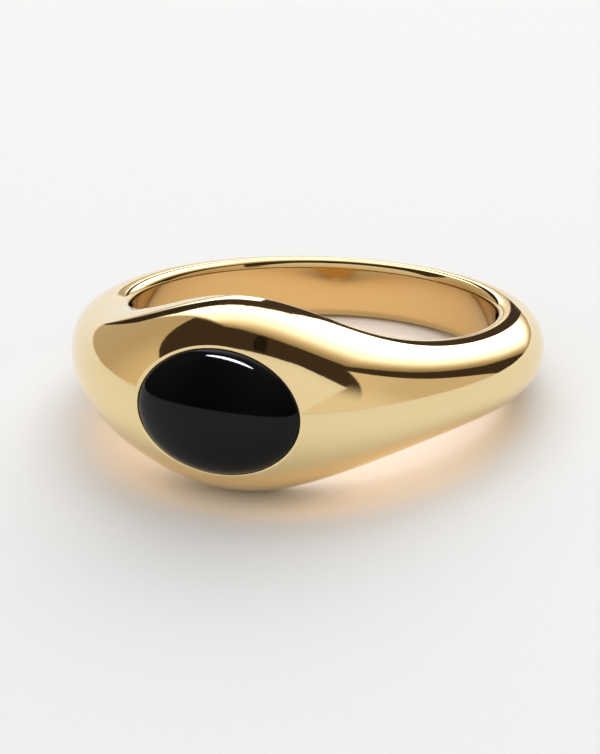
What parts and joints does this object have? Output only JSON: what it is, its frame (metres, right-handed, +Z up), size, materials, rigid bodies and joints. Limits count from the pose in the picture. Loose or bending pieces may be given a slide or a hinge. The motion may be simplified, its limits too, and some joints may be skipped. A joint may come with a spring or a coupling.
{
  "type": "signet ring",
  "caption": "Polished yellow gold signet ring whose shoulders swell into a domed head, with an oval black cabochon set flush in it.",
  "frame": {"origin": "on the table, under the middle of the ring's box as it lies at rest on its side", "axes": "+Z up from the table; -Y towards the head and its stone; +X to the right seen from the head; the finger axis leans from +Z towards +Y by the tilt at which the ring rests"},
  "size_m": [0.0222, 0.024, 0.009],
  "materials": {
    "polished_gold": "mirror polished yellow gold plate",
    "black_onyx": "polished cabochon",
    "clear_adhesive": "cured film"
  },
  "bodies": {
    "root": {"band": "polished_gold", "cabochon": "black_onyx", "stone_bedding": "clear_adhesive"}
  },
  "joints": []
}
